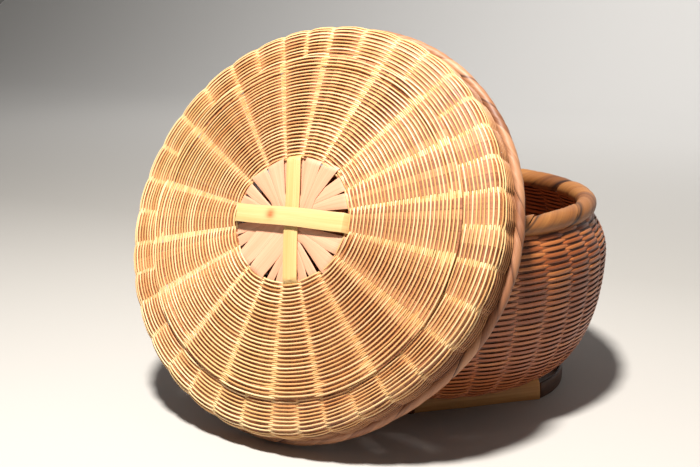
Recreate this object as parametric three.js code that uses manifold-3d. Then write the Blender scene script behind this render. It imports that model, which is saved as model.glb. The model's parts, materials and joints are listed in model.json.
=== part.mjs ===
// A hand-woven round bamboo basket on a low foot, with its domed lid leaning against it.
// Millimetres, +Z up. The lid leans towards the back: its outer face looks along -Y and up.
// The basket's axis is vertical. At the end the whole group is moved so that the origin is
// the middle of the underside of its box.

import * as THREE from 'three';
import { mergeVertices } from 'three/addons/utils/BufferGeometryUtils.js';
import Module from 'manifold-3d';

const wasm = await Module();
wasm.setup();

// ---- driving dimensions -------------------------------------------------------------------

const gap = 0.3;                 // clearance kept between pieces that touch
const ringSteps = 48;            // facets round every woven ring
const weaveThickness = 2.5;      // stake and weavers together

// hub: flat splints crossing in the middle of the lid and of the base
const hubRadius = 43;            // the first woven row runs here
const hubThickness = 0.9;
const wideSplint = 27;
const narrowStrip = 10;
const hubWideTurns = [127, 152, 69, 31];    // degrees from +X, outermost splint first
const hubStripTurns = [102, 2];              // inner strip, outer strip

// lid, in its own frame: axis up, outer face up, 0 at the edge of the hub
const lidRowsRadius = 112;       // heavier rows start here
const lidGrooveRadius = 120;     // and end here, at a step down to the border
const lidCurve = 6.0e-4;         // fall of the dome per millimetre squared of radius
const lidRowsProud = 0.9;
const lidBorderSunk = 1.2;
const lidEdgeRadius = 145.5;     // outside of the short side wall
const lidRounding = 10;          // radius of the edge between top and side wall
const lidWallEnd = -29.8;
const lidOuterBands = {          // steps of the outline in each band, from the groove outwards
  lid_border_weave: 2,
  lid_edge_weave: 5,
  lid_side_weave: 1,
};
const lidRimRadius = 144;        // middle of the rolled rim
const lidRimHeight = -36;
const lidRimTube = 6;
const lidLean = 24;              // degrees from upright
const lidOffsetX = -27;
const lidFaceToAxis = 142;       // hub edge plane to the basket axis, measured level

// basket
const baseHeight = 20;           // underside of the woven base
const baseRadius = 98;           // flat part of the base
const bellyRadius = 146.2;
const bellyHeight = 110.9;
const bellyFullness = 0.9;       // shape of the curve from base to belly
const neckRadius = 133.6;
const neckHeight = 140.3;
const bellyStep = 7.5;           // degrees of the belly curve between two points
const basketBands = {            // steps of the outline in each band, from the neck down
  basket_shoulder_weave: 4,
  basket_belly_weave: 4,
  basket_lower_weave: 4,
  basket_corner_weave: 4,
  basket_base_weave: 1,
};
const rimTube = 7;
const rimRadius = 130;
const rimHeight = 147.6;

// foot: two thick slats joined at their ends by thin bent strips
const footTurn = 44.5;           // degrees, direction of the slats from +X
const slatHalfLength = 74;
const slatOuter = 80;            // axis to the slat's outer face
const slatWidth = 12;
const slatHeight = baseHeight - gap;
const slatFace = 7;              // height of the upright part of its outer face
const slatBevel = 9;
const endStripRadius = 88.5;
const endStripCentre = 34.2;
const endStripThickness = 2.4;
const endStripHeight = 12;
const tiePlaces = [-30, -60];
const tieWidth = 6;
const tieThickness = 0.9;
const notchDepth = tieThickness + 2 * gap;

// ---- materials ----------------------------------------------------------------------------

const finishes = {
  strip: { color: 0xd9b56a, roughness: 0.5 },
  splint: { color: 0xb98a63, roughness: 0.55 },
  lidWeave: { color: 0xcf9c5c, roughness: 0.6 },
  lidRim: { color: 0xb87a3c, roughness: 0.6 },
  basketWeave: { color: 0x9c5f38, roughness: 0.6 },
  basketRim: { color: 0xc98a45, roughness: 0.55 },
  foot: { color: 0xcf9a55, roughness: 0.45 },
  tie: { color: 0xa9713c, roughness: 0.6 },
};

function material(name) {
  return new THREE.MeshStandardMaterial({ ...finishes[name], metalness: 0 });
}

function piece(name, geometry, finish) {
  const mesh = new THREE.Mesh(geometry, material(finish));
  mesh.name = name;
  return mesh;
}

// ---- woven rings --------------------------------------------------------------------------

const radians = THREE.MathUtils.degToRad;

// Shortens an open run of points by `amount` at each end.
function trimmed(points, amount) {
  const run = points.map((p) => p.clone());
  const last = run.length - 1;
  const startStep = run[1].clone().sub(run[0]).setLength(amount);
  const endStep = run[last - 1].clone().sub(run[last]).setLength(amount);
  run[0].add(startStep);
  run[last].add(endStep);
  return run;
}

// The inner side of a woven wall: the outer line (radius, height) moved by the thickness
// towards its right-hand side as it is walked.
function innerSide(line) {
  return line.map((point, i) => {
    const before = line[Math.max(i - 1, 0)];
    const after = line[Math.min(i + 1, line.length - 1)];
    const along = after.clone().sub(before).normalize();
    return new THREE.Vector2(along.y, -along.x).multiplyScalar(weaveThickness).add(point);
  });
}

// A closed band between the outer and inner lines.
function wovenBand(outer, inner = innerSide(outer)) {
  return turned([...trimmed(outer, gap / 2), ...trimmed(inner, gap / 2).reverse()]);
}

// Turns a closed outline (radius, height), given clockwise, about +Z.
function turned(outline) {
  const closed = [...outline, outline[0].clone()].reverse();
  const geometry = new THREE.LatheGeometry(closed, ringSteps);
  geometry.rotateX(Math.PI / 2);
  return geometry;
}

// Cuts one woven wall into bands; `bands` gives each band's name and its steps of the line.
function addBands(group, outer, bands, finish) {
  const inner = innerSide(outer);
  let start = 0;
  for (const [name, steps] of Object.entries(bands)) {
    const end = start + steps;
    const band = wovenBand(outer.slice(start, end + 1), inner.slice(start, end + 1));
    group.add(piece(name, band, finish));
    start = end;
  }
}

function rolledRim(radius, height, tube) {
  const sides = 12;
  const outline = [];
  for (let i = 0; i < sides; i += 1) {
    const angle = -(2 * Math.PI * i) / sides;
    outline.push(new THREE.Vector2(radius + tube * Math.cos(angle), height + tube * Math.sin(angle)));
  }
  return turned(outline);
}

// Points along a line `height(radius)` between two radii.
function domeLine(from, to, height, steps) {
  const points = [];
  for (let i = 0; i <= steps; i += 1) {
    const radius = from + ((to - from) * i) / steps;
    points.push(new THREE.Vector2(radius, height(radius)));
  }
  return points;
}

// ---- the crossing splints in the middle ---------------------------------------------------

// A flat splint through the centre, its ends cut on the circle of the first woven row.
function crossingSplint(width, turn, top) {
  const half = width / 2;
  const reach = hubRadius - gap;
  const swing = Math.asin(half / reach);
  const shape = new THREE.Shape();
  shape.absarc(0, 0, reach, -swing, swing, false);
  shape.absarc(0, 0, reach, Math.PI - swing, Math.PI + swing, false);
  const geometry = new THREE.ExtrudeGeometry(shape, {
    depth: hubThickness, bevelEnabled: false, curveSegments: 6,
  });
  geometry.rotateZ(radians(turn));
  geometry.translate(0, 0, top - hubThickness);
  return geometry;
}

// The stack of splints, the narrow pair outermost. The outer face looks up.
function addHub(group, prefix, outerTop) {
  let top = outerTop;
  hubStripTurns.slice().reverse().forEach((turn, i) => {
    const name = `${prefix}_cross_strip_${i === 0 ? 'outer' : 'inner'}`;
    group.add(piece(name, crossingSplint(narrowStrip, turn, top), 'strip'));
    top -= hubThickness + gap;
  });
  hubWideTurns.forEach((turn, i) => {
    group.add(piece(`${prefix}_wide_splint_${i + 1}`, crossingSplint(wideSplint, turn, top), 'splint'));
    top -= hubThickness + gap;
  });
}

// ---- lid ----------------------------------------------------------------------------------

const lidTop = (radius) => -lidCurve * (radius ** 2 - hubRadius ** 2);

function makeLid() {
  const lid = new THREE.Group();
  addHub(lid, 'lid', 1.6);

  const crown = domeLine(hubRadius, lidRowsRadius, lidTop, 6);
  lid.add(piece('lid_crown_weave', wovenBand(crown), 'lidWeave'));

  const rows = domeLine(lidRowsRadius, lidGrooveRadius, (r) => lidTop(r) + lidRowsProud, 2);
  lid.add(piece('lid_raised_rows', wovenBand(rows), 'lidWeave'));

  const roundingRadius = lidEdgeRadius - lidRounding;
  const borderTop = (r) => lidTop(r) - lidBorderSunk;
  const outerLine = domeLine(lidGrooveRadius, roundingRadius, borderTop, lidOuterBands.lid_border_weave);
  const edgeSteps = lidOuterBands.lid_edge_weave;
  const roundingHeight = borderTop(roundingRadius) - lidRounding;
  for (let i = 1; i <= edgeSteps; i += 1) {
    const angle = (Math.PI / 2) * (1 - i / edgeSteps);
    outerLine.push(new THREE.Vector2(
      roundingRadius + lidRounding * Math.cos(angle),
      roundingHeight + lidRounding * Math.sin(angle),
    ));
  }
  outerLine.push(new THREE.Vector2(lidEdgeRadius, lidWallEnd));
  addBands(lid, outerLine, lidOuterBands, 'lidWeave');
  lid.add(piece('lid_rim', rolledRim(lidRimRadius, lidRimHeight, lidRimTube), 'lidRim'));

  const lean = radians(lidLean);
  lid.rotation.x = Math.PI / 2 - lean;
  const standHeight = -lidRimHeight * Math.sin(lean) + lidRimRadius * Math.cos(lean) + lidRimTube;
  lid.position.set(lidOffsetX, -lidFaceToAxis, standHeight);
  return lid;
}

// ---- basket -------------------------------------------------------------------------------

// A point on the outside of the basket: `angle` runs from 0 at the base to 90 at the belly.
function bellyPoint(angle) {
  const a = radians(angle);
  return new THREE.Vector2(
    baseRadius + (bellyRadius - baseRadius) * Math.sin(a) ** bellyFullness,
    bellyHeight - (bellyHeight - baseHeight) * Math.cos(a),
  );
}

// Walked from the neck down to the hub, so that the thickness goes inwards.
function basketLine() {
  const line = [];
  const shoulderSteps = 4;
  for (let i = 0; i < shoulderSteps; i += 1) {
    const t = 1 - i / shoulderSteps;
    line.push(new THREE.Vector2(
      bellyRadius - (bellyRadius - neckRadius) * t ** 2,
      bellyHeight + (neckHeight - bellyHeight) * t,
    ));
  }
  for (let angle = 90; angle > 0; angle -= bellyStep) {
    line.push(bellyPoint(angle));
  }
  line.push(new THREE.Vector2(baseRadius, baseHeight), new THREE.Vector2(hubRadius, baseHeight));
  return line;
}

function makeBasketWeave(group) {
  addBands(group, basketLine(), basketBands, 'basketWeave');
  group.add(piece('basket_rim', rolledRim(rimRadius, rimHeight, rimTube), 'basketRim'));

  const hub = new THREE.Group();
  addHub(hub, 'base', 1.6);
  hub.rotation.x = Math.PI;
  hub.position.z = baseHeight;
  group.add(hub);
}

// ---- foot ---------------------------------------------------------------------------------

function solidOf(geometry) {
  const bare = geometry.clone();
  bare.deleteAttribute('normal');
  bare.deleteAttribute('uv');
  const merged = mergeVertices(bare, 1e-4);
  return new wasm.Manifold(new wasm.Mesh({
    numProp: 3,
    vertProperties: new Float32Array(merged.attributes.position.array),
    triVerts: new Uint32Array(merged.index.array),
  }));
}

function geometryOf(solid) {
  const mesh = solid.getMesh();
  const geometry = new THREE.BufferGeometry();
  geometry.setAttribute('position', new THREE.BufferAttribute(mesh.vertProperties, 3));
  geometry.setIndex(new THREE.BufferAttribute(mesh.triVerts, 1));
  return geometry;
}

// Extrudes a section given as (distance from the axis, height) along the slat, centred on `place`.
function alongSlat(section, length, place) {
  const geometry = new THREE.ExtrudeGeometry(new THREE.Shape(section), {
    depth: length, bevelEnabled: false,
  });
  geometry.rotateX(Math.PI / 2);
  geometry.rotateZ(-Math.PI / 2);
  geometry.translate(place + length / 2, 0, 0);
  return geometry;
}

function slatSection(grow) {
  const inside = slatOuter - slatWidth;
  return [
    new THREE.Vector2(inside - grow, slatHeight),
    new THREE.Vector2(inside - grow, -grow),
    new THREE.Vector2(slatOuter + grow, -grow),
    new THREE.Vector2(slatOuter + grow, slatFace + grow / 2),
    new THREE.Vector2(slatOuter - slatBevel + grow, slatHeight),
  ];
}

function makeSlat() {
  let slat = solidOf(alongSlat(slatSection(0), 2 * slatHalfLength, 0));
  const notchWidth = tieWidth + 2 * gap;
  for (const place of tiePlaces) {
    const notch = new THREE.BoxGeometry(notchWidth, 2 * slatWidth, 2 * notchDepth);
    notch.translate(place, -(slatOuter - slatWidth / 2), 0);
    slat = slat.subtract(solidOf(notch));
  }
  return geometryOf(slat);
}

// A flat lashing that goes down the slat's face, under it in the notch and up its back.
function makeTie(place) {
  const lift = notchDepth + slatHeight;
  const raise = (points) => points.map((p) => new THREE.Vector2(p.x, p.y + (p.y < 0 ? notchDepth : 0)));
  const outer = solidOf(alongSlat(raise(slatSection(gap + tieThickness)), tieWidth, place));
  const inner = raise(slatSection(gap));
  inner[0].y = lift;
  inner[4].y = lift;
  inner[4].x -= (lift - slatHeight) * (slatBevel / (slatHeight - slatFace));
  return geometryOf(outer.subtract(solidOf(alongSlat(inner, tieWidth * 2, place))));
}

function makeEndStrip() {
  const shape = new THREE.Shape();
  const innerRadius = endStripRadius - endStripThickness;
  const swing = Math.acos((slatHalfLength + gap - endStripCentre) / innerRadius);
  shape.absarc(endStripCentre, 0, endStripRadius, -swing, swing, false);
  shape.absarc(endStripCentre, 0, innerRadius, swing, -swing, true);
  return new THREE.ExtrudeGeometry(shape, {
    depth: endStripHeight, bevelEnabled: false, curveSegments: 14,
  });
}

function makeFoot() {
  const foot = new THREE.Group();
  const sides = { front: 0, back: Math.PI };
  const ends = { right: 0, left: Math.PI };
  for (const [side, turn] of Object.entries(sides)) {
    const half = new THREE.Group();
    half.add(piece(`foot_slat_${side}`, makeSlat(), 'foot'));
    tiePlaces.forEach((place, i) => {
      half.add(piece(`foot_tie_${side}_${i + 1}`, makeTie(place), 'tie'));
    });
    half.rotation.z = turn;
    foot.add(half);
  }
  for (const [end, turn] of Object.entries(ends)) {
    const strip = piece(`foot_end_strip_${end}`, makeEndStrip(), 'foot');
    strip.rotation.z = turn;
    foot.add(strip);
  }
  foot.rotation.z = radians(footTurn);
  return foot;
}

// ---- the whole object ---------------------------------------------------------------------

const basket = new THREE.Group();
makeBasketWeave(basket);
basket.add(makeFoot());

const object = new THREE.Group();
object.add(basket, makeLid());
object.updateMatrixWorld(true);

const box = new THREE.Box3().setFromObject(object, true);
const middle = box.getCenter(new THREE.Vector3());
object.position.set(-middle.x, -middle.y, -box.min.z);
object.updateMatrixWorld(true);

export default object;
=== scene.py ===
import json
import math

import bpy
import numpy as np
from mathutils import Matrix, Vector


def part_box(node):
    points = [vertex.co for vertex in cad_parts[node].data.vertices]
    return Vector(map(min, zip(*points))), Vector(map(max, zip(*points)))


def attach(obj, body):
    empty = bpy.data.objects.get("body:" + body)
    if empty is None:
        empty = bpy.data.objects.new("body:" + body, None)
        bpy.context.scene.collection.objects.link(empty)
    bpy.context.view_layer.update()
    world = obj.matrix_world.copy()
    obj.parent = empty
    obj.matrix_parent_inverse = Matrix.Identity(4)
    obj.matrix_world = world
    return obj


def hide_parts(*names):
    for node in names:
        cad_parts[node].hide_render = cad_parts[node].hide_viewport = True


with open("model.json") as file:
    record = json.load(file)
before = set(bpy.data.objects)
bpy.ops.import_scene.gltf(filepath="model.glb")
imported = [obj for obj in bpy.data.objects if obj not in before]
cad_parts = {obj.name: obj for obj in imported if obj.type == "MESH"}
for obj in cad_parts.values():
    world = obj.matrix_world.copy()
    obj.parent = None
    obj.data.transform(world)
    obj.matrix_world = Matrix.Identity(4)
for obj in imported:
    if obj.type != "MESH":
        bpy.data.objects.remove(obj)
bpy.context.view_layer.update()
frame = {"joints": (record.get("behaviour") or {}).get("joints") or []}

# A hand-woven round bamboo basket on a low foot, with its domed lid leaning against it.
# Sizes are in millimetres until a piece's points are stored, which is in metres.

MM = 0.001
random = np.random.default_rng(11)

# ---- driving dimensions ----------------------

HALF_WALL = 1.25                 # outside of a woven wall to the middle of its stakes
HUB_RADIUS = 43.0                # the first woven row runs here
HUB_TOP = 1.6

# lid, in its own frame: +Z is its outer face, +Y up the slope
LID_CURVE = 6.0e-4
LID_ROWS_RADIUS = 112.0
LID_GROOVE_RADIUS = 120.0
LID_ROWS_PROUD = 0.9
LID_BORDER_SUNK = 1.2
LID_TUCK = 2.6                   # the border starts this far in under the raised rows
LID_TUCK_SLOPE = 0.4             # and falls by this much for each millimetre of it
LID_EDGE_RADIUS = 145.5
LID_ROUNDING = 10.0
LID_WALL_END = -35.5
LID_FLARE = 1.0                  # the side wall runs out this much to its rim
LID_RIM_RADIUS = 145.9
LID_RIM_LEVEL = -36.8            # middle of the rolled edge
LID_FRAME_LEVEL = -36.0
LID_RIM_TUBE = 3.0
LID_PITCH = 1.31                 # from one row to the next
LID_BOLD_PITCH = LID_PITCH + 0.1
LID_EDGE_PITCH = 1.5
LID_STRAND = (1.36, 1.0)         # width and thickness
LID_BOLD_STRAND = (1.5, 1.15)
LID_BORDER_START = 0.2
LID_STAKE_THICKNESS = 0.5
LID_FOLDS = 40
LID_FOLD_LEAN = 0.05
# how far the wall and the rim are out of round: to the right, up the slope, wider all round
LID_WALL_SWAY = (-0.8, 0.6, 0.6)
LID_RIM_SWAY = (0.6, 1.5, 1.3)
LID_SWAY_START = 118.0           # nothing inside this radius moves
LID_SWAY_FULL = 140.0            # all outside this radius moves the full way
LID_DENT_AT = 138                # degrees clockwise from the top: the edge is pressed in here
LID_DENT_REACH = 26
LID_DENT = 4.8
# openings between the lid's stakes, degrees clockwise from the top of the lid
LID_OPENINGS = (
    -2.5, 19, 39, 57, 75, 95, 117.5, 138.5, 158, 175, 195, 215.5, 238, 257, 278, 300, 322, 341,
)

# basket
BASE_HEIGHT = 20.0
BASE_RADIUS = 98.0
BELLY_RADIUS = 146.2
BELLY_HEIGHT = 110.9
BELLY_FULLNESS = 0.9
NECK_RADIUS = 133.6
NECK_HEIGHT = 141.5
BASKET_PITCH = 2.04
BASKET_STRAND = (2.75, 1.15)
BASKET_STAKE_THICKNESS = 0.6
BASKET_STAKES = 36
BASE_STAKES = 18
BASKET_FIRST_OPENING = 3.0       # degrees from +X
BASKET_CUTS = (0, 0.215, 0.44, 0.7, 1)  # where the bands of its wall end, as shares of the wall
RIM_RADIUS = 130.0
RIM_HEIGHT = 147.6
RIM_TUBE = 6.3
RIM_FOLDS = 32
RIM_FOLD_LEAN = 0.075

# foot
FOOT_TURN = 44.5
SLAT_HALF_LENGTH = 74.0
SLAT_OUTER = 80.0
SLAT_WIDTH = 12.0
SLAT_HEIGHT = 19.7
SLAT_FACE = 7.0                  # height of the upright part of its outer face
SLAT_BEVEL = 9.0
NEARLY = 0.1                     # allowance when its edges are picked by their place
SLAT_CUTS = 47                   # along its length, so that it can waver
SLAT_SWAY = (0.35, 11)           # size, and length over which it runs
SLAT_KNOT = (0.5, 12, 3.5)       # size, place along the slat, reach
SLAT_WEAR = 0.5                  # how far its outer top edge is worn down
SLAT_WAVERS = ((0.45, 8, 1), (0.2, 3.1, 0))  # size, length, phase
END_STRIP_RADIUS = 88.5
END_STRIP_CENTRE = 34.2
END_STRIP_THICKNESS = 2.4
END_STRIP_HEIGHT = 12.0
TIE_PLACES = (-30.0, -60.0)
TIE_LIFT = 0.6                   # a tie's strand stands off the slat by this
TIE_TURNS = (-2.1, 0.0, 2.1)     # where its turns run, along the slat
TIE_HALF_WIDTH = 0.95
TIE_SLANT = 0.6
TIE_SWELL = 0.06

# share of the way across a stake, and how far the strand has moved to its own side there
ACROSS_STAKE = np.array([0.0, 0.07, 0.17, 0.32, 0.5, 0.68, 0.83, 0.93])
STRAND_SWING = np.array([0.0, 0.28, 0.7, 0.95, 1.0, 0.95, 0.7, 0.28])
# share of a sector left open on each side of its stake
LID_STAKE_EDGE = 0.065
BASKET_STAKE_EDGE = 0.015
SPLIT_GAP = 0.003                # half the gap between two strips of a stake, as a share of the sector
# width of a strand between two stakes and over one, as shares of its full width
LID_FULLNESS = (0.98, 0.86)
BASKET_FULLNESS = (0.78, 1.0)

FULL_TURN = 2 * math.pi


# ---- small helpers ---------------------------

def clear_selection():
    for thing in bpy.context.selected_objects:
        thing.select_set(False)


def points_of(piece):
    flat = np.zeros(len(piece.data.vertices) * 3)
    piece.data.vertices.foreach_get("co", flat)
    return flat.reshape(-1, 3)


def set_points(mesh, points):
    mesh.vertices.foreach_set("co", (points * MM).astype(np.float32).ravel())
    mesh.update()


def loop_corners(mesh):
    corners = np.zeros(len(mesh.loops), int)
    mesh.loops.foreach_get("vertex_index", corners)
    return corners


def set_strand_map(mesh, along, row):
    layer = mesh.uv_layers.new(name="strand")
    layer.data.foreach_set("uv", np.stack([along, row], 1).astype(np.float32).ravel())


def add_copy(source, name, mesh):
    piece = source.copy()
    piece.data = mesh
    piece.name = name
    bpy.context.scene.collection.objects.link(piece)
    return piece


def remove(piece):
    mesh = piece.data
    bpy.data.objects.remove(piece)
    bpy.data.meshes.remove(mesh)


def rename(piece, name):
    piece.name = name
    piece.data.name = name


def join(pieces, name):
    clear_selection()
    for piece in pieces:
        piece.select_set(True)
    bpy.context.view_layer.objects.active = pieces[0]
    if len(pieces) > 1:
        bpy.ops.object.join()
    joined = bpy.context.view_layer.objects.active
    rename(joined, name)
    return joined


def apply_modifier(piece, kind, **settings):
    clear_selection()
    piece.select_set(True)
    bpy.context.view_layer.objects.active = piece
    modifier = piece.modifiers.new(kind.lower(), kind)
    for key, value in settings.items():
        setattr(modifier, key, value)
    bpy.ops.object.modifier_apply(modifier=modifier.name)


def round_edges(piece, width, segments, angle):
    """Rounds the edges that turn by more than the angle."""
    apply_modifier(piece, "BEVEL", width=width * MM, segments=segments, limit_method="ANGLE",
                   angle_limit=math.radians(angle))


def smooth(piece, angle):
    clear_selection()
    piece.select_set(True)
    bpy.context.view_layer.objects.active = piece
    bpy.ops.object.shade_smooth_by_angle(angle=math.radians(angle))


def add_ring(segments, sides):
    """A torus primitive, with each point's angle round it and round its tube."""
    clear_selection()
    bpy.ops.mesh.primitive_torus_add(
        major_segments=segments, minor_segments=sides, major_radius=1, minor_radius=0.25,
        generate_uvs=False,
    )
    ring = bpy.context.object
    points = points_of(ring)
    turn = np.arctan2(points[:, 1], points[:, 0])
    around = np.arctan2(points[:, 2], np.hypot(points[:, 0], points[:, 1]) - 1)
    return ring, turn, around


def settle(piece, place, body, nodes, material):
    """Puts a finished piece in its place on the object, on its body."""
    piece.data.transform(place)
    piece.data.materials.clear()
    piece.data.materials.append(material)
    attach(piece, body)
    if nodes:
        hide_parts(*nodes)
    return piece


# ---- lines of the woven walls ----------------
# Each is (radius, height) of the outside, walked with the outside on its left.

def lid_crown_height(radius):
    return -LID_CURVE * (radius ** 2 - HUB_RADIUS ** 2)


def lid_crown_line():
    radius = np.linspace(HUB_RADIUS, LID_ROWS_RADIUS, 60)
    return np.stack([radius, lid_crown_height(radius)], 1)


def lid_rows_line():
    radius = np.linspace(LID_ROWS_RADIUS, LID_GROOVE_RADIUS, 9)
    return np.stack([radius, lid_crown_height(radius) + LID_ROWS_PROUD], 1)


def lid_outer_line():
    bend_radius = LID_EDGE_RADIUS - LID_ROUNDING
    radius = np.linspace(LID_GROOVE_RADIUS - LID_TUCK, bend_radius, 14)
    tucked = LID_TUCK_SLOPE * np.clip(LID_GROOVE_RADIUS - radius, 0, LID_TUCK)
    border = np.stack([radius, lid_crown_height(radius) - LID_BORDER_SUNK - tucked], 1)
    angle = np.linspace(math.pi / 2, 0, 16)[1:]
    centre = np.array([bend_radius, border[-1, 1] - LID_ROUNDING])
    bend = centre + LID_ROUNDING * np.stack([np.cos(angle), np.sin(angle)], 1)
    return np.concatenate([border, bend, [[LID_EDGE_RADIUS + LID_FLARE, LID_WALL_END]]])


def basket_wall_line():
    fall = np.linspace(1, 0, 12)
    shoulder = np.stack([
        BELLY_RADIUS - (BELLY_RADIUS - NECK_RADIUS) * fall ** 2,
        BELLY_HEIGHT + (NECK_HEIGHT - BELLY_HEIGHT) * fall,
    ], 1)
    angle = np.linspace(math.pi / 2, 0, 40)[1:]
    belly = np.stack([
        BASE_RADIUS + (BELLY_RADIUS - BASE_RADIUS) * np.sin(angle) ** BELLY_FULLNESS,
        BELLY_HEIGHT - (BELLY_HEIGHT - BASE_HEIGHT) * np.cos(angle),
    ], 1)
    return np.concatenate([shoulder, belly])


def basket_base_line():
    radius = np.linspace(BASE_RADIUS, HUB_RADIUS, 30)
    return np.stack([radius, np.full(30, BASE_HEIGHT)], 1)


def walk(line, distances):
    """Points, directions and outward normals on the middle of the wall at these distances."""
    steps = np.linalg.norm(np.diff(line, axis=0), axis=1)
    run = np.concatenate([[0], np.cumsum(steps)])
    slopes = np.gradient(line, run, axis=0)
    point = np.stack([np.interp(distances, run, line[:, i]) for i in (0, 1)], 1)
    along = np.stack([np.interp(distances, run, slopes[:, i]) for i in (0, 1)], 1)
    along /= np.linalg.norm(along, axis=1)[:, None]
    outward = np.stack([-along[:, 1], along[:, 0]], 1)
    return point - outward * HALF_WALL, along, outward


def line_length(line):
    return float(np.linalg.norm(np.diff(line, axis=0), axis=1).sum())


# ---- stakes and their openings ---------------

def lid_openings():
    """Angles of the openings between the lid's stakes, from +X, turning left."""
    return np.sort([(90 - turn) % 360 for turn in LID_OPENINGS])


def even_openings(count):
    return BASKET_FIRST_OPENING + np.arange(count) * 360 / count


def with_halves(openings):
    after = np.append(openings[1:], openings[0] + 360)
    return np.sort(np.concatenate([openings, (openings + after) / 2]))


def sector_widths(openings):
    return np.append(openings[1:], openings[0] + 360) - openings


# ---- woven rows ------------------------------

SWING = 1.15                     # how far a strand goes to each side of the stakes
LOW_SWING = 1.0
HIGH_SWING = 1.35
LIFT_WAVER = 0.16                # how far a row wavers in and out
LIFT_WAVES = (3, 7, 11)
SHIFT_WAVER = 0.3                # how far it wavers along the wall
SHIFT_WAVES = (2, 5, 9)
ROW_DRIFT = 0.11                 # how far the wavers turn from one row to the next
OWN_WAVERS = ((0.07, 13), (0.05, 29))  # a row's own, as (size, waves round the row)
SLACK_SIZES = (0, 0, 0.35, -0.35)      # half the rows have one slack place
SLACK_REACH = 0.12
WIDTH_SPREAD = (0.93, 1.07)
THICKNESS_SPREAD = (0.94, 1.06)
ROW_MAP = (0.1, 0.8)             # start and span of a row's share of the strand map
# how sharply the painted shade turns from a strand's outer face to its inner face
UNDER_SHADE_STEEPNESS = 3


def make_strand(stakes, sides):
    """One closed strand to copy, with its facets shared out between the stakes."""
    count = stakes * len(ACROSS_STAKE)
    ring, turn, around = add_ring(count, sides)
    index = np.rint(turn % FULL_TURN / FULL_TURN * count).astype(int) % count
    corners = loop_corners(ring.data)
    corner_index = index[corners].reshape(-1, 4)
    wraps = (corner_index.max(1) - corner_index.min(1)) > count // 2
    corner_index[wraps] += np.where(corner_index[wraps] < count // 2, count, 0)
    return {
        "ring": ring, "index": index, "around": around,
        "corner_index": corner_index.ravel(), "corner_around": np.abs(around[corners]) / math.pi,
    }


def strand_angles(openings):
    """Angle, stake number and swing at each step round a row, one step more than a full turn."""
    widths = sector_widths(openings)
    angle = (openings[:, None] + widths[:, None] * ACROSS_STAKE[None, :]).ravel()
    stake = np.repeat(np.arange(len(openings)), len(ACROSS_STAKE))
    swing = np.tile(STRAND_SWING, len(openings))
    return np.radians(np.append(angle, angle[0] + 360)), stake, swing


def drift(angle, size, waves, row, hand):
    """A slow closed waver; rows near each other waver alike."""
    total = np.zeros_like(angle)
    for wave in waves:
        phase = hand[wave % len(hand)] + row * ROW_DRIFT * (1 + wave % 3)
        total += np.sin(wave * angle + phase) / len(waves)
    return size * total


def lay_row(strand, number, place, angles, size, fullness, swing_size, hand):
    """A copy of the strand, laid at one place of the wall, over and under the stakes."""
    point, along, outward = place
    turn, stake, swing = angles
    index, around = strand["index"], strand["around"]
    angle = turn[:-1]
    side = np.where((stake + number) % 2 == 0, 1.0, -1.0)
    lift = side * swing * swing_size
    lift += drift(angle, LIFT_WAVER, LIFT_WAVES, number, hand)
    shift = drift(angle, SHIFT_WAVER, SHIFT_WAVES, number, hand)
    phases = random.uniform(0, FULL_TURN, 2)
    shift += sum(
        own * np.sin(waves * angle + phase) for (own, waves), phase in zip(OWN_WAVERS, phases)
    )
    slack_at = random.uniform(0, FULL_TURN)
    slack_size = random.choice(SLACK_SIZES)
    away = np.abs((angle - slack_at + math.pi) % FULL_TURN - math.pi)
    shift += slack_size * np.exp(-(away / SLACK_REACH) ** 2)
    between, over = fullness
    wide = size[0] * random.uniform(*WIDTH_SPREAD) / 2 * (between + (over - between) * swing)
    thick = size[1] * random.uniform(*THICKNESS_SPREAD) / 2
    across = wide[index] * np.cos(around) + shift[index]
    up = thick * np.sin(around) + lift[index]
    radius = point[0] + along[0] * across + outward[0] * up
    height = point[1] + along[1] * across + outward[1] * up
    mesh = strand["ring"].data.copy()
    set_points(mesh, np.stack([radius * np.cos(angle[index]), radius * np.sin(angle[index]), height], 1))
    run = turn[strand["corner_index"]] * point[0] * MM
    map_start, map_span = ROW_MAP
    set_strand_map(mesh, run, number + map_start + map_span * strand["corner_around"])
    # painted shade mask: how far each point of the strand lies under a stake or faces it, darkened in
    # the finish
    under_shade = mesh.attributes.new("under_shade", "FLOAT", "POINT")
    outer_side = np.clip(UNDER_SHADE_STEEPNESS * np.sin(around), -1, 1)
    under_shade_mask = np.clip(-lift[index] / swing_size * outer_side, 0, 1)
    under_shade.data.foreach_set("value", under_shade_mask.astype(np.float32))
    return add_copy(strand["ring"], "row", mesh)


def weave(name, line, start, stop, pitch, openings, size, fullness,
          first=0, sides=6, swing_size=SWING):
    """The rows between two distances along a wall's line, and the number of the next row."""
    strand = make_strand(len(openings), sides)
    count = max(1, round((stop - start) / pitch))
    distances = start + (np.arange(count) + 0.5) * (stop - start) / count
    point, along, outward = walk(line, distances)
    angles = strand_angles(openings)
    hand = random.uniform(0, FULL_TURN, 5)
    rows = []
    for i in range(count):
        place = point[i], along[i], outward[i]
        rows.append(lay_row(strand, first + i, place, angles, size, fullness, swing_size, hand))
    piece = join(rows, name)
    remove(strand["ring"])
    smooth(piece, 80)
    return piece, first + count


# ---- strips ----------------------------------

STRIP_MAP = (0.5, 0.4)           # middle and reach of a strip's share of the strand map
STAKE_STEPS = 26
STAKE_LEVEL_SPREAD = 0.12        # a strip of a stake lies this much higher or lower


def make_strip(across, along):
    """A flat strip to copy; its points keep their share across and along, from -1 to 1."""
    clear_selection()
    bpy.ops.mesh.primitive_grid_add(x_subdivisions=across, y_subdivisions=along, size=2)
    strip = bpy.context.object
    while strip.data.uv_layers:
        strip.data.uv_layers.remove(strip.data.uv_layers[0])
    return strip


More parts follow.
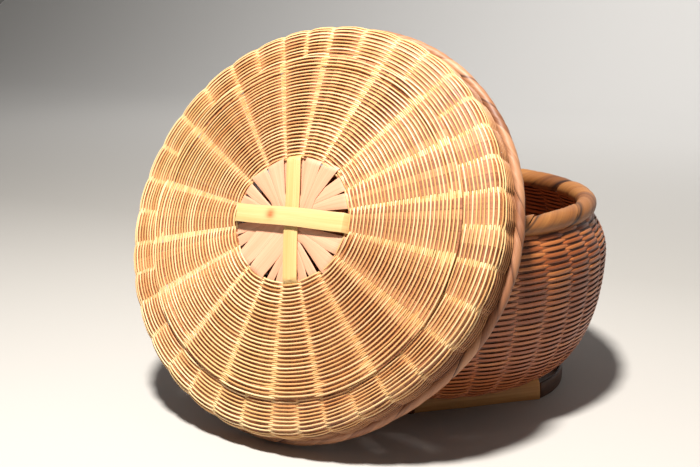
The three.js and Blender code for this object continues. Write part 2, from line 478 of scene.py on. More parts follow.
def shape_strip(strip, shape, number):
    """A copy of the strip with its points moved to shape(across, along) -> points, run, width."""
    flat = points_of(strip)
    points, run, width = shape(flat[:, 0], flat[:, 1])
    mesh = strip.data.copy()
    set_points(mesh, points)
    corners = loop_corners(mesh)
    map_middle, map_reach = STRIP_MAP
    set_strand_map(mesh, run[corners] * MM, number + map_middle + map_reach * width[corners])
    return add_copy(strip, "strip", mesh)


def stakes(name, line, openings, edge, strips_each, thickness, first):
    """Flat stakes in the middle of a woven wall, each split into a fan of strips."""
    strip = make_strip(1, STAKE_STEPS)
    length = line_length(line)
    pieces = []
    widths = sector_widths(openings)
    for stake, (opening, width) in enumerate(zip(openings, widths)):
        share = (1 - 2 * edge) / strips_each
        for part in range(strips_each):
            low = edge + share * part + SPLIT_GAP
            high = edge + share * (part + 1) - SPLIT_GAP
            level = random.uniform(-STAKE_LEVEL_SPREAD, STAKE_LEVEL_SPREAD)

            def shape(across, along):
                run = (along + 1) / 2 * length
                point, _, outward = walk(line, run)
                angle = np.radians(opening + width * (low + (high - low) * (across + 1) / 2))
                radius = point[:, 0] + outward[:, 0] * level
                height = point[:, 1] + outward[:, 1] * level
                place = np.stack([radius * np.cos(angle), radius * np.sin(angle), height], 1)
                return place, run, across

            pieces.append(shape_strip(strip, shape, first + stake * strips_each + part))
    joined = join(pieces, name)
    remove(strip)
    apply_modifier(joined, "SOLIDIFY", thickness=thickness * MM, offset=0.0)
    return joined


# ---- rolled rims -----------------------------

FOLD_STEPS = (12, 22)
FOLD_REACH = 160.0               # degrees round the rim's tube, each way from its top
FOLD_OVERLAP = 1.3               # width of a fold, as a share of the pitch
FOLD_PLACE_SPREAD = 0.24         # share of the pitch
FOLD_FULLNESS_SPREAD = (0.5, 1.2)
FOLD_LEAN_SPREAD = (0.8, 1.2)
FOLD_PHASE_SPAN = 6.28
FOLD_NARROWING = 0.12            # towards its two ends
FOLD_THICKNESS = 0.55
# heights off the middle of the tube, as shares of its radius; the ridges are in millimetres
FOLD_LEVEL = 0.83
FOLD_CROWN = 0.09
FOLD_STEP = 0.27                 # its free edge stands above its tucked one
FOLD_STEP_CURVE = 0.6
FOLD_RIDGES = ((0.09, 9, 0), (0.07, 23, 3))  # height, waves across, slant along
CORE_SHARE = 0.8
CORE_TWIST = (0.05, 5, 36)       # depth, waves round the tube, waves round the rim


def rim_wraps(name, radius, height, tube, count, lean):
    """Broad strips folded obliquely over a rim, each tucked under the next."""
    strip = make_strip(*FOLD_STEPS)
    pitch = 360 / count
    pieces = []
    for wrap in range(count):
        start = wrap * pitch + random.uniform(-FOLD_PLACE_SPREAD, FOLD_PLACE_SPREAD) * pitch
        fullness = random.uniform(*FOLD_FULLNESS_SPREAD)
        tilt = lean * random.uniform(*FOLD_LEAN_SPREAD)
        phase = random.uniform(0, FOLD_PHASE_SPAN)

        def shape(across, along):
            round_tube = along * FOLD_REACH
            narrow = 1 - FOLD_NARROWING * along ** 2
            turn = start - tilt * round_tube + across * narrow * FOLD_OVERLAP * pitch / 2
            crown = FOLD_CROWN * tube * fullness * (1 - across ** 2)
            step = FOLD_STEP * tube * ((across + 1) / 2) ** FOLD_STEP_CURVE
            ridge = sum(
                size * np.sin(across * waves + phase + along * slant)
                for size, waves, slant in FOLD_RIDGES
            )
            distance = tube * FOLD_LEVEL + crown + step + ridge
            bend = np.radians(round_tube)
            spread = radius + distance * np.sin(bend)
            angle = np.radians(turn)
            place = np.stack([
                spread * np.cos(angle), spread * np.sin(angle), height + distance * np.cos(bend),
            ], 1)
            return place, np.radians(round_tube) * tube, across

        pieces.append(shape_strip(strip, shape, wrap))
    joined = join(pieces, name)
    remove(strip)
    apply_modifier(joined, "SOLIDIFY", thickness=FOLD_THICKNESS * MM, offset=0.0)
    smooth(joined, 60)
    return joined


def rim_core(name, radius, height, tube):
    """The bundle of stake ends inside a rim."""
    ring, turn, around = add_ring(144, 14)
    depth, round_tube, round_rim = CORE_TWIST
    section = tube * CORE_SHARE * (1 + depth * np.sin(around * round_tube + turn * round_rim))
    spread = radius + section * np.cos(around)
    set_points(ring.data, np.stack([
        spread * np.cos(turn), spread * np.sin(turn), height + section * np.sin(around),
    ], 1))
    corners = loop_corners(ring.data)
    set_strand_map(ring.data, (turn * radius * MM)[corners], (around * 1.5)[corners])
    rename(ring, name)
    smooth(ring, 80)
    return ring


def make_rim(name, radius, height, tube, count, lean):
    wraps = rim_wraps(name + "_wraps", radius, height, tube, count, lean)
    core = rim_core(name + "_core", radius, height, tube)
    return join([wraps, core], name)


# ---- the crossing splints --------------------

SPLINT_STEPS = (4, 60)
SPLINT_REACH = 44.5
SPLINT_END_LEVEL = -1.9          # its ends dip to this, under the first row
SPLINT_WAIST = 0.42              # a fan-shaped splint narrows in towards this share of its reach
SPLINT_TRIM = 0.992              # its width leaves a thin gap beside it
SPLINT_GAPE = 0.8                # half the opening between its two halves at the ends
SPLINT_WAVER = 0.25
SPLINT_CROWN = 0.3
GAPE_RAMP = (0.78, 0.17, 1.5)    # start and span as shares of the reach, and power
TUCK_RAMP = (0.94, 0.05, 1.3)
SPLINT_BOW = 0.5                 # how far a splint's middle stands above its ends
# ends as (degrees clockwise from the top, width, lift), the outermost splint first
WIDE_SPLINTS = (
    ((321, 29.0, 0.5), (148.5, 14.5, -0.9)),
    ((288.5, 17.5, -0.7), (117.3, 29.2, 0.4)),
    ((20.5, 28.6, 0.6), (183.3, 14.2, -0.7)),
    ((58.8, 25.2, 0.0), (248.5, 17.4, -0.7)),
)
UNDER_SPLINTS = (
    ((30, 8.0, -1.6), (214.9, 30.4, 0.6)),
    ((351, 26.0, -1.7), (166.5, 20.0, -1.7)),
)
INNER_STRIP = ((351, 10.6, 0.0), (166.5, 10.4, 0.0))
OUTER_STRIP = ((270, 12.4, 0.5), (87.8, 13.0, 0.4))
# (ends, drop below the hub's top, thickness, finish, number, bow)
CROSS_STRIPS = {
    "cross_strip_outer": (OUTER_STRIP, -0.3, 1.1, "knotted_strip", 3, 1.3),
    "cross_strip_inner": (INNER_STRIP, 1.0, 1.0, "pale_strip", 5, 0.5),
}
SPLINT_THICKNESS = 0.7
WIDE_SPLINT_DROP = 2.2
WIDE_SPLINT_STEP = 0.25          # each lies this much lower than the one before
UNDER_SPLINT_DROP = 2.9
UNDER_SPLINT_STEP = 0.3
UNDER_SPLINT_WAIST = 0.9


def ramp_up(share, start, span, power):
    """From 0 at the start to 1 at the end of the span."""
    return np.clip((share - start) / span, 0, 1) ** power


def splint(name, ends, level, thickness, number, bow=SPLINT_BOW, split=True, waist=SPLINT_WAIST):
    """A flat splint through the hub. Each end is (degrees clockwise from the top, width, lift)."""
    strip = make_strip(*SPLINT_STEPS)
    turns = [math.radians(turn) for turn, _, _ in ends]
    tips = [SPLINT_REACH * np.array([math.sin(turn), math.cos(turn)]) for turn in turns]
    length = np.linalg.norm(tips[1] - tips[0])
    forward = (tips[1] - tips[0]) / length
    sideways = np.array([-forward[1], forward[0]])
    halves = []
    for side in (-1, 1) if split else (0,):

        def shape(across, along):
            share = (along + 1) / 2
            width = ends[0][1] * (1 - share) + ends[1][1] * share
            if split:
                end_width = np.where(along < 0, ends[0][1], ends[1][1])
                width = end_width * np.maximum(np.abs(along), waist) * SPLINT_TRIM
            lift = ends[0][2] * (1 - share) + ends[1][2] * share
            opened = SPLINT_GAPE * ramp_up(np.abs(along), *GAPE_RAMP)
            spread = across * width / 2
            if side:
                spread = side * (opened + (width / 2 - opened) * (1 + side * across) / 2)
            middle = tips[0] + share[:, None] * (tips[1] - tips[0])
            waver = SPLINT_WAVER * np.sin(share * 9 + number)
            place = middle + sideways * (spread + waver)[:, None]
            crown = SPLINT_CROWN * (1 - (2 * spread / width) ** 2)
            height = level + lift + bow * (1 - along ** 2) + crown
            tucked = ramp_up(np.abs(along), *TUCK_RAMP)
            height = height * (1 - tucked) + SPLINT_END_LEVEL * tucked
            return np.column_stack([place, height]), share * length, 2 * spread / width

        halves.append(shape_strip(strip, shape, number))
    remove(strip)
    piece = join(halves, name)
    apply_modifier(piece, "SOLIDIFY", thickness=thickness * MM, offset=-1.0)
    round_edges(piece, 0.2, 2, 40)
    smooth(piece, 35)
    return piece


def make_hub(prefix, place, body, materials):
    """Two narrow strips over four wide splints, with two broader ones under all of them."""
    for name, (ends, drop, thickness, finish, number, bow) in CROSS_STRIPS.items():
        node = f"{prefix}_{name}"
        piece = splint(node + "_split", ends, HUB_TOP - drop, thickness, number, bow, split=False)
        settle(piece, place, body, [node], materials[finish])
    for i, ends in enumerate(WIDE_SPLINTS):
        node = f"{prefix}_wide_splint_{i + 1}"
        level = HUB_TOP - WIDE_SPLINT_DROP - WIDE_SPLINT_STEP * i
        piece = splint(node + "_split", ends, level, SPLINT_THICKNESS, 7 + i)
        settle(piece, place, body, [node], materials["hub_splint"])
    for i, ends in enumerate(UNDER_SPLINTS):
        level = HUB_TOP - UNDER_SPLINT_DROP - UNDER_SPLINT_STEP * i
        under = splint(f"{prefix}_under_splint_{i + 1}", ends, level, SPLINT_THICKNESS, 13 + i,
                       waist=UNDER_SPLINT_WAIST)
        settle(under, place, body, [], materials["hub_splint"])


# ---- lid -------------------------------------

def nudge(piece, right, up, wider):
    """Moves the outer part of the lid a little, as a hand-made one is out of round."""
    flat = points_of(piece) / MM
    radius = np.hypot(flat[:, 0], flat[:, 1])
    turned = np.degrees(np.arctan2(flat[:, 0], flat[:, 1])) % 360
    wider = wider - LID_DENT * np.exp(-((turned - LID_DENT_AT) / LID_DENT_REACH) ** 2)
    share = np.clip((radius - LID_SWAY_START) / (LID_SWAY_FULL - LID_SWAY_START), 0, 1)
    flat[:, 0] += share * (right + wider * flat[:, 0] / radius)
    flat[:, 1] += share * (up + wider * flat[:, 1] / radius)
    set_points(piece.data, flat)


def make_lid(place, materials):
    openings = lid_openings()
    halves = with_halves(openings)
    crown, rows_line, outer = lid_crown_line(), lid_rows_line(), lid_outer_line()
    finish = materials["lid_weave"]

    piece, row = weave("lid_crown_rows", crown, 0, line_length(crown), LID_PITCH, openings,
                       LID_STRAND, LID_FULLNESS)
    settle(piece, place, "lid", ["lid_crown_weave"], finish)
    piece, row = weave("lid_raised_band", rows_line, 0, line_length(rows_line), LID_BOLD_PITCH,
                       openings, LID_BOLD_STRAND, LID_FULLNESS, first=row)
    settle(piece, place, "lid", ["lid_raised_rows"], finish)

    bend_start = LID_EDGE_RADIUS - LID_ROUNDING - LID_GROOVE_RADIUS + LID_TUCK
    bend_end = bend_start + LID_ROUNDING * math.pi / 2
    cuts = {
        "lid_border": (LID_BORDER_START, bend_start, LID_PITCH, LOW_SWING, "lid_weave"),
        "lid_edge": (bend_start, bend_end, LID_EDGE_PITCH, LOW_SWING, "lid_weave"),
        # the side wall's rows take the darker finish that paints the wall's shade
        "lid_side": (bend_end, line_length(outer), LID_EDGE_PITCH, HIGH_SWING, "lid_side"),
    }
    for name, (start, stop, pitch, swing_size, finish) in cuts.items():
        piece, row = weave(name + "_rows", outer, start, stop, pitch, halves, LID_STRAND,
                           LID_FULLNESS, first=row, swing_size=swing_size)
        nudge(piece, *LID_WALL_SWAY)
        settle(piece, place, "lid", [name + "_weave"], materials[finish])

    inner = stakes("lid_stakes", np.concatenate([crown, rows_line[1:]]), openings,
                   LID_STAKE_EDGE, 5, LID_STAKE_THICKNESS, first=100)
    settle(inner, place, "lid", [], materials["lid_stake"])
    outer_stakes = stakes("lid_border_stakes", outer, halves, LID_STAKE_EDGE, 2,
                          LID_STAKE_THICKNESS, first=300)
    nudge(outer_stakes, *LID_WALL_SWAY)
    settle(outer_stakes, place, "lid", [], materials["lid_stake"])

    rim = make_rim("lid_rolled_rim", LID_RIM_RADIUS, LID_RIM_LEVEL, LID_RIM_TUBE, LID_FOLDS,
                   LID_FOLD_LEAN)
    nudge(rim, *LID_RIM_SWAY)
    settle(rim, place, "lid", ["lid_rim"], materials["lid_rim"])
    make_hub("lid", place, "lid", materials)


# ---- basket ----------------------------------

def make_basket(place, materials):
    wall, base = basket_wall_line(), basket_base_line()
    openings = even_openings(BASKET_STAKES)
    finish = materials["basket_weave"]
    length = line_length(wall)
    bands = ("basket_shoulder", "basket_belly", "basket_lower", "basket_corner")
    row = 0
    for name, low, high in zip(bands, BASKET_CUTS, BASKET_CUTS[1:]):
        piece, row = weave(name + "_rows", wall, low * length, high * length, BASKET_PITCH,
                           openings, BASKET_STRAND, BASKET_FULLNESS, first=row, sides=5)
        settle(piece, place, "basket", [name + "_weave"], finish)
    piece, row = weave("basket_base_rows", base, 1.0, line_length(base), BASKET_PITCH,
                       even_openings(BASE_STAKES), BASKET_STRAND, BASKET_FULLNESS,
                       first=row, sides=5)
    settle(piece, place, "basket", ["basket_base_weave"], finish)

    upright = stakes("basket_stakes", wall, openings, BASKET_STAKE_EDGE, 2,
                     BASKET_STAKE_THICKNESS, first=500)
    settle(upright, place, "basket", [], materials["basket_stake"])
    flat = stakes("basket_base_stakes", base, even_openings(BASE_STAKES), BASKET_STAKE_EDGE,
                  4, BASKET_STAKE_THICKNESS, first=700)
    settle(flat, place, "basket", [], materials["basket_stake"])

    rim = make_rim("basket_rolled_rim", RIM_RADIUS, RIM_HEIGHT, RIM_TUBE, RIM_FOLDS,
                   RIM_FOLD_LEAN)
    settle(rim, place, "basket", ["basket_rim"], materials["basket_rim"])
    underside = place @ Matrix.Translation((0, 0, BASE_HEIGHT * MM)) @ Matrix.Rotation(math.pi, 4, "X")
    make_hub("base", underside, "basket", materials)


# ---- foot ------------------------------------

def select_edges(mesh, wanted):
    """In edit mode, selects the edges whose two ends both answer `wanted`."""
    bpy.ops.mesh.select_mode(type="EDGE")
    bpy.ops.mesh.select_all(action="DESELECT")
    bpy.ops.object.mode_set(mode="OBJECT")
    for edge in mesh.edges:
        edge.select = all(wanted(mesh.vertices[i].co) for i in edge.vertices)
    bpy.ops.object.mode_set(mode="EDIT")


def make_slat(name):
    """A thick slat, bevelled along its outer top edge and a little uneven."""
    clear_selection()
    bpy.ops.mesh.primitive_cube_add(size=1)
    slat = bpy.context.object
    slat.data.uv_layers.remove(slat.data.uv_layers[0])
    flat = points_of(slat) * 2
    points = np.stack([
        flat[:, 0] * SLAT_HALF_LENGTH,
        -(SLAT_OUTER - SLAT_WIDTH / 2) + flat[:, 1] * SLAT_WIDTH / 2,
        SLAT_HEIGHT / 2 * (1 + flat[:, 2]),
    ], 1)
    set_points(slat.data, points)
    bpy.ops.object.mode_set(mode="EDIT")
    top = (SLAT_HEIGHT - NEARLY) * MM
    outer = -(SLAT_OUTER - NEARLY) * MM
    select_edges(slat.data, lambda co: co.z > top and co.y < outer)
    bpy.ops.mesh.bevel(offset=SLAT_BEVEL * MM, segments=3, profile=0.42, affect="EDGES")
    long_edge = SLAT_HALF_LENGTH * MM
    bpy.ops.mesh.select_all(action="DESELECT")
    bpy.ops.object.mode_set(mode="OBJECT")
    for edge in slat.data.edges:
        ends = [slat.data.vertices[i].co for i in edge.vertices]
        edge.select = abs(ends[0].x - ends[1].x) > long_edge
    bpy.ops.object.mode_set(mode="EDIT")
    bpy.ops.mesh.subdivide(number_cuts=SLAT_CUTS)
    bpy.ops.object.mode_set(mode="OBJECT")
    round_edges(slat, 0.7, 3, 25)
    flat = points_of(slat) / MM
    run = flat[:, 0]
    bend = SLAT_HEIGHT - SLAT_BEVEL
    above = np.clip((flat[:, 2] - bend) / SLAT_BEVEL, 0, 1)
    below = np.clip(flat[:, 2] / bend, 0, 1)
    flat[:, 2] = SLAT_FACE * below + (SLAT_HEIGHT - SLAT_FACE) * above
    high = np.clip(flat[:, 2] / SLAT_HEIGHT, 0, 1)
    outward = np.clip((-flat[:, 1] - (SLAT_OUTER - SLAT_WIDTH)) / SLAT_WIDTH, 0, 1)
    sway, sway_length = SLAT_SWAY
    knot, knot_at, knot_reach = SLAT_KNOT
    bulge = knot * np.exp(-((run - knot_at) / knot_reach) ** 2)
    flat[:, 1] -= outward * sway * np.sin(run / sway_length) + bulge * outward
    wear = sum((size * np.sin(run / length + phase) for size, length, phase in SLAT_WAVERS), SLAT_WEAR)
    flat[:, 2] -= high * outward * wear
    set_points(slat.data, flat)
    corners = loop_corners(slat.data)
    set_strand_map(slat.data, flat[corners, 0] * MM, (flat[corners, 1] + flat[corners, 2]) / 12)
    rename(slat, name)
    smooth(slat, 35)
    return slat


def make_end_strip(name):
    """A thin strip bent round from one slat's end to the other's."""
    strip = make_strip(4, 40)
    inner_radius = END_STRIP_RADIUS - END_STRIP_THICKNESS
    swing = math.acos((SLAT_HALF_LENGTH + 0.3 - END_STRIP_CENTRE) / inner_radius)

    def shape(across, along):
        angle = along * swing
        radius = END_STRIP_RADIUS - END_STRIP_THICKNESS / 2
        place = np.stack([
            END_STRIP_CENTRE + radius * np.cos(angle), radius * np.sin(angle),
            END_STRIP_HEIGHT / 2 * (1 + across),
        ], 1)
        return place, angle * radius, across

    piece = shape_strip(strip, shape, 3)
    remove(strip)
    apply_modifier(piece, "SOLIDIFY", thickness=(END_STRIP_THICKNESS - 0.2) * MM, offset=0.0)
    round_edges(piece, 0.5, 2, 40)
    rename(piece, name)
    smooth(piece, 35)
    return piece


def tie_path(share):
    """A point of a closed run round the slat's section, from its share of the way round."""
    inside, outside = SLAT_OUTER - SLAT_WIDTH - TIE_LIFT, SLAT_OUTER + TIE_LIFT
    corners = np.array([
        (inside, SLAT_HEIGHT), (inside, TIE_LIFT), (outside, TIE_LIFT), (outside, SLAT_FACE),
        (outside - SLAT_BEVEL, SLAT_HEIGHT), (inside, SLAT_HEIGHT),
    ])
    run = np.append(0, np.cumsum(np.linalg.norm(np.diff(corners, axis=0), axis=1)))
    return [np.interp(share * run[-1], run, corners[:, i]) for i in (0, 1)]


def make_tie(name, place_along):
    """Three turns of a narrow strand round a slat."""
    turns = []
    for turn in TIE_TURNS:
        ring, angle, around = add_ring(44, 8)
        out, up = tie_path((angle / FULL_TURN) % 1)
        centre = SLAT_OUTER - SLAT_WIDTH / 2
        swell = 1 + TIE_SWELL * np.cos(around)
        slant = TIE_SLANT * np.sin(angle + turn)
        along = place_along + turn + TIE_HALF_WIDTH * np.sin(around) + slant
        height = SLAT_HEIGHT / 2 + (up - SLAT_HEIGHT / 2) * swell
        set_points(ring.data, np.stack([along, -centre - (out - centre) * swell, height], 1))
        corners = loop_corners(ring.data)
        set_strand_map(ring.data, (angle * 12 * MM)[corners], (around / 7 + turn)[corners])
        turns.append(ring)
    tie = join(turns, name)
    clear_selection()
    tie.select_set(True)
    bpy.context.view_layer.objects.active = tie
    bpy.ops.object.mode_set(mode="EDIT")
    bpy.ops.mesh.select_all(action="SELECT")
    bpy.ops.mesh.normals_make_consistent(inside=False)
    bpy.ops.object.mode_set(mode="OBJECT")
    smooth(tie, 70)
    return tie


def make_foot(place, materials):
    foot = place @ Matrix.Rotation(math.radians(FOOT_TURN), 4, "Z")
    half_turn = Matrix.Rotation(math.pi, 4, "Z")
    for side, turn in (("front", Matrix.Identity(4)), ("back", half_turn)):
        slat = make_slat(f"foot_slat_{side}_shaped")
        settle(slat, foot @ turn, "basket", [f"foot_slat_{side}"], materials["foot_slat"])
        for i, place_along in enumerate(TIE_PLACES):
            tie = make_tie(f"foot_lashing_{side}_{i + 1}", place_along)
            settle(tie, foot @ turn, "basket", [f"foot_tie_{side}_{i + 1}"],
                   materials["foot_tie"])
    for end, turn in (("right", Matrix.Identity(4)), ("left", half_turn)):
        strip = make_end_strip(f"foot_end_{end}_bent")
        settle(strip, foot @ turn, "basket", [f"foot_end_strip_{end}"],
               materials["foot_end"])


# ---- finishes --------------------------------

BLACK, WHITE = (0, 0, 0, 1), (1, 1, 1, 1)
FAINT = (0.05, 0.05, 0.05, 1)


def colour(red, green, blue):
    """A colour given as on a paint card, 0 to 255, in the shader's own scale."""
    values = [c / 255 for c in (red, green, blue)]
    return tuple(c / 12.92 if c <= 0.04045 else ((c + 0.055) / 1.055) ** 2.4 for c in values) + (1.0,)


class Finish:
    """A new material, with short ways to add and join its nodes."""

    def __init__(self, name, roughness=0.5):
        self.material = bpy.data.materials.new(name)
        self.material.use_nodes = True
        self.tree = self.material.node_tree
        self.shader = self.tree.nodes["Principled BSDF"]
        self.shader.inputs["Roughness"].default_value = roughness

    def node(self, kind, **settings):
        node = self.tree.nodes.new("ShaderNode" + kind)
        for key, value in settings.items():
            setattr(node, key, value)
        return node

    def link(self, source, target):
        self.tree.links.new(source, target)

    def feed(self, sockets, values):
        """Sets each socket to its value, or links it where the value is another node's."""
        for socket, value in zip(sockets, values):
            if isinstance(value, (int, float, tuple)):
                socket.default_value = value
            else:
                self.link(value, socket)

    def math(self, operation, first, second=0.0, clamp=False):
        node = self.node("Math", operation=operation, use_clamp=clamp)
        self.feed(node.inputs, (first, second))
        return node.outputs[0]

    def weigh(self, *parts):
        """The sum of (value, weight) pairs."""
        weighed = [self.math("MULTIPLY", value, weight) for value, weight in parts]
        total = weighed[0]
        for value in weighed[1:]:
            total = self.math("ADD", total, value)
        return total

    def strand(self):
        """Distance along the strand in metres, and row number with the share round it."""
        uv = self.node("UVMap", uv_map="strand")
        split = self.node("SeparateXYZ")
        self.link(uv.outputs["UV"], split.inputs[0])
        return split.outputs["X"], split.outputs["Y"]

    def row_tone(self, number):
        """A tone of its own for each row or strip."""
        node = self.node("TexWhiteNoise", noise_dimensions="1D")
        self.link(number, node.inputs["W"])
        return node.outputs["Value"]

    def streaks(self, along, along_scale, row, row_scale, detail=2.0, roughness=0.5):
        """Noise drawn out along the strand."""
        node = self.node("CombineXYZ")
        parts = (self.math("MULTIPLY", along, along_scale), self.math("MULTIPLY", row, row_scale))
        self.feed(node.inputs, parts)
        return self.noise(node.outputs[0], 1.0, detail, roughness)

    def noise(self, vector, scale, detail, roughness=0.5):
        node = self.node("TexNoise")
        node.inputs["Scale"].default_value = scale
        node.inputs["Detail"].default_value = detail
        node.inputs["Roughness"].default_value = roughness
        self.link(vector, node.inputs["Vector"])
        return node.outputs["Fac"]

    def object_noise(self, scale, detail):
        place = self.node("TexCoord")
        return self.noise(place.outputs["Object"], scale, detail)

    def ramp(self, factor, *stops):
        node = self.node("ValToRGB")
        elements = node.color_ramp.elements
        while len(elements) > 1:
            elements.remove(elements[-1])
        elements[0].position, elements[0].color = stops[0]
        for position, value in stops[1:]:
            elements.new(position).color = value
        self.link(factor, node.inputs["Fac"])
        return node.outputs["Color"]

    def mix(self, factor, first, second):
        node = self.node("Mix", data_type="RGBA")
        sockets = node.inputs["Factor"], node.inputs[6], node.inputs[7]
        self.feed(sockets, (factor, first, second))
        return node.outputs[2]

    def bump(self, height, strength, distance):
        node = self.node("Bump")
        node.inputs["Strength"].default_value = strength
        node.inputs["Distance"].default_value = distance
        self.link(height, node.inputs["Height"])
        self.link(node.outputs["Normal"], self.shader.inputs["Normal"])

    def paint(self, value):
        self.link(value, self.shader.inputs["Base Color"])

    def rough(self, value, low, high):
        node = self.node("MapRange")
        node.inputs["To Min"].default_value = low
        node.inputs["To Max"].default_value = high
        self.link(value, node.inputs["Value"])
        self.link(node.outputs[0], self.shader.inputs["Roughness"])


def strand_finish(name, dark, middle, pale, shade, patch, under_shade_share, rough):
    """Split bamboo strands: a tone to each row, lengths of other tones, fine grain, and painted shade
    where a strand lies under a stake or faces one.
    """
    finish = Finish(name)
    along, row = finish.strand()
    number = finish.math("FLOOR", row)
    lengths = finish.streaks(along, 9.0, number, 5.3)
    grain = finish.streaks(along, 260.0, row, 9.0, 3.0, 0.6)
    fine = finish.math("SUBTRACT", grain, 0.5)
    shades = finish.weigh((finish.row_tone(number), 0.34), (lengths, 0.66), (fine, 0.3))
    body = finish.ramp(shades, (0.2, dark), (0.45, middle), (0.72, pale))
    patches = finish.ramp(finish.object_noise(9.0, 3.0), (0.42, BLACK), (0.66, WHITE))
    body = finish.mix(finish.math("MULTIPLY", patches, 0.45), body, patch)
    # painted shade: darkens the strand towards the shade colour where it lies under a stake or faces one
    under_shade = finish.node("Attribute", attribute_name="under_shade")
    depth = finish.math("POWER", under_shade.outputs["Fac"], 1.6)
    body = finish.mix(finish.math("MULTIPLY", depth, under_shade_share), body, shade)
    finish.paint(body)
    finish.rough(grain, *rough)
    finish.bump(grain, 0.25, 0.0004)
    return finish.material


def splint_finish(name, dark, middle, pale, knot=None, crease_shade=None):
    """A flat split face: long straight grain, a tone to each splint, a knot or painted shade along the
    tucked edge of each fold.
    """
    finish = Finish(name)
    along, row = finish.strand()
    tone = finish.row_tone(finish.math("FLOOR", row))
    grain = finish.streaks(along, 14.0, row, 42.0, 4.0, 0.62)
    broad = finish.streaks(along, 10.0, row, 5.0)
    shades = finish.weigh((grain, 0.45), (broad, 0.3), (tone, 0.25))
    body = finish.ramp(shades, (0.3, dark), (0.48, middle), (0.68, pale))
    if knot:
        where, side, tint = knot
        offset = finish.math("MULTIPLY", finish.math("SUBTRACT", along, where), 300.0)
        aside = finish.math("SUBTRACT", finish.math("FRACT", row), side)
        across = finish.math("MULTIPLY", aside, 4.5)
        far = finish.weigh((offset, offset), (across, across))
        spot = finish.math("EXPONENT", finish.math("MULTIPLY", far, -1.0))
        cloud = finish.math("MULTIPLY", spot, finish.math("MULTIPLY", broad, 1.5), clamp=True)
        body = finish.mix(cloud, body, tint)
    # painted shade: darkens each fold's tucked edge beside the next fold's step, unevenly along the rim
    if crease_shade:
        edge = finish.ramp(finish.math("FRACT", row), (0.3, WHITE), (0.44, BLACK))
        uneven = finish.ramp(broad, (0.44, FAINT), (0.6, WHITE))
        body = finish.mix(finish.math("MULTIPLY", edge, uneven), body, crease_shade)
    finish.paint(body)
    finish.rough(grain, 0.4, 0.62)
    finish.bump(grain, 0.3, 0.0003)
    return finish.material


def make_finishes():
    strip_tones = colour(186, 144, 84), colour(210, 172, 110), colour(228, 196, 140)
    return {
        # in each strand finish the fourth colour, and the share after the patch colour, paint the shade
        # on strands under the stakes
        "lid_weave": strand_finish(
            "split_bamboo_straw", colour(196, 140, 84), colour(230, 186, 126), colour(248, 222, 172),
            colour(84, 34, 18), colour(206, 138, 84), 0.16, (0.26, 0.42)),
        # the lid's side wall: the straw weave painted darker as shade, with strong painted shade under
        # the stakes
        "lid_side": strand_finish(
            "split_bamboo_edge_painted_shade", colour(112, 66, 38), colour(158, 104, 64), colour(204, 150, 98),
            colour(38, 16, 10), colour(100, 52, 32), 0.9, (0.3, 0.5)),
        "lid_stake": splint_finish(
            "bamboo_stakes_rose", colour(122, 62, 38), colour(166, 106, 68), colour(200, 146, 102)),
        # the lid's rim: its own pinkish tan, darkened overall as painted shade, with painted shade at
        # the fold creases
        "lid_rim": splint_finish(
            "folded_stakes_tan_painted_shade", colour(112, 66, 44), colour(158, 106, 74), colour(194, 144, 108),
            crease_shade=colour(72, 36, 22)),
        "pale_strip": splint_finish("pale_bamboo_strip", *strip_tones),
        "knotted_strip": splint_finish(
            "pale_bamboo_strip_with_knot", *strip_tones, knot=(0.031, 0.55, colour(178, 92, 48))),
        "hub_splint": splint_finish(
            "bamboo_splint", colour(188, 126, 98), colour(214, 156, 124), colour(230, 180, 148)),
        "basket_weave": strand_finish(
            "bamboo_weavers_russet", colour(112, 54, 26), colour(154, 82, 42), colour(190, 118, 66),
            colour(44, 20, 10), colour(148, 78, 42), 0.75, (0.3, 0.48)),
        "basket_stake": splint_finish(
            "bamboo_uprights", colour(70, 34, 18), colour(104, 56, 30), colour(134, 80, 46)),
        # the basket's rim: its own golden tan, with painted shade at the fold creases
        "basket_rim": splint_finish(
            "folded_rim_golden", colour(96, 54, 26), colour(136, 84, 42), colour(168, 114, 62),
            crease_shade=colour(46, 22, 12)),
        "foot_slat": splint_finish(
            "foot_slat_bamboo", colour(148, 90, 42), colour(190, 130, 68), colour(216, 162, 102)),
        # the bent end strips: painted dark brown as the shade under the basket's overhang
        "foot_end": splint_finish(
            "bent_strip_painted_shade", colour(40, 22, 14), colour(62, 36, 22), colour(90, 56, 34)),
        "foot_tie": splint_finish(
            "lashing", colour(72, 36, 20), colour(112, 62, 34), colour(146, 90, 52)),
    }


def middle(node):
    low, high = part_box(node)
    return (low + high) / 2


# ---- studio ----------------------------------
# In metres, and in degrees.

CAMERA_FROM_BASKET = (0.315, -0.6682, 0.2875)
CAMERA_DOWN = 13.053
CAMERA_TURN = 29.35
CAMERA_LENS = 48.857
CAMERA_SENSOR = 36
FLOOR_SIZE = 8
FLOOR_EDGE = 3.9                 # the floor's points past this are its back edge
FLOOR_RISE = 5
FLOOR_SWEEP = 2.0
FLOOR_COLOUR = (0.5, 0.49, 0.48, 1)
# name: place, what it shines at, size, watts, colour
LIGHTS = {
    "key": ((0.08, -0.52, 1.32), (0, -0.08, 0.12), 0.16, 40, (1.0, 0.95, 0.87)),
    "fill": ((-1.6, 0.9, 1.3), (0, 0, 0.1), 1.6, 2.5, (1.0, 0.98, 0.95)),
    "side": ((1.7, 0.2, 0.8), (0, 0, 0.1), 1.4, 1.5, (1.0, 0.97, 0.93)),
    "backdrop": ((0, 1.4, 2.6), (0, 4.0, 1.6), 2.5, 130, (1.0, 0.99, 0.97)),
}
SURROUND_COLOUR = (1.0, 0.96, 0.9, 1)
SURROUND_STRENGTH = 0.1


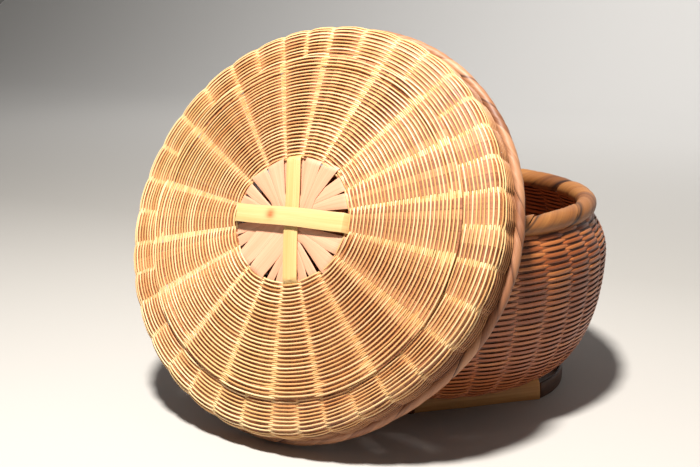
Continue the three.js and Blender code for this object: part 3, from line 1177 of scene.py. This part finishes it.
def make_camera():
    data = bpy.data.cameras.new("camera")
    data.sensor_width = CAMERA_SENSOR
    data.lens = CAMERA_LENS
    data.dof.use_dof = False
    camera = bpy.data.objects.new("camera", data)
    camera.location = middle("basket_rim") * Vector((1, 1, 0)) + Vector(CAMERA_FROM_BASKET)
    camera.rotation_euler = (math.radians(90 - CAMERA_DOWN), 0, math.radians(CAMERA_TURN))
    bpy.context.scene.collection.objects.link(camera)
    bpy.context.scene.camera = camera


def make_floor():
    """A plain pale floor that sweeps up behind."""
    clear_selection()
    bpy.ops.mesh.primitive_plane_add(size=FLOOR_SIZE)
    floor = bpy.context.object
    bpy.ops.object.mode_set(mode="EDIT")
    select_edges(floor.data, lambda co: co.y > FLOOR_EDGE)
    bpy.ops.mesh.extrude_region_move(TRANSFORM_OT_translate={"value": (0, 0, FLOOR_RISE)})
    select_edges(floor.data, lambda co: co.y > FLOOR_EDGE and co.z < 0.1)
    bpy.ops.mesh.bevel(offset=FLOOR_SWEEP, segments=24, affect="EDGES")
    bpy.ops.object.mode_set(mode="OBJECT")
    smooth(floor, 60)
    floor.name = "floor"
    finish = Finish("floor_paper", 0.9)
    finish.shader.inputs["Base Color"].default_value = FLOOR_COLOUR
    floor.data.materials.append(finish.material)


def add_light(name, place, target, size, watts, tint):
    data = bpy.data.lights.new(name, "AREA")
    data.shape = "DISK"
    data.size = size
    data.energy = watts
    data.color = tint
    light = bpy.data.objects.new(name, data)
    light.location = place
    aim = Vector(target) - Vector(place)
    light.rotation_euler = aim.to_track_quat("-Z", "Y").to_euler()
    bpy.context.scene.collection.objects.link(light)


def make_lights():
    for name, setting in LIGHTS.items():
        add_light(name, *setting)
    world = bpy.data.worlds.new("studio")
    bpy.context.scene.world = world
    world.use_nodes = True
    surround = world.node_tree.nodes["Background"]
    surround.inputs["Color"].default_value = SURROUND_COLOUR
    surround.inputs["Strength"].default_value = SURROUND_STRENGTH
    bpy.context.scene.view_settings.view_transform = "Standard"


# ---- assembly --------------------------------

def lid_place():
    outward = Vector(frame["joints"][0]["axis"]).normalized()
    right = Vector((1, 0, 0))
    up_slope = outward.cross(right)
    origin = middle("lid_rim") - outward * (LID_FRAME_LEVEL * MM)
    turn = Matrix((right, up_slope, outward)).transposed().to_4x4()
    return Matrix.Translation(origin) @ turn


def basket_place():
    centre = middle("basket_rim")
    return Matrix.Translation((centre.x, centre.y, 0))


make_camera()
finishes = make_finishes()
make_lid(lid_place(), finishes)
make_basket(basket_place(), finishes)
make_foot(basket_place(), finishes)
make_floor()
make_lights()
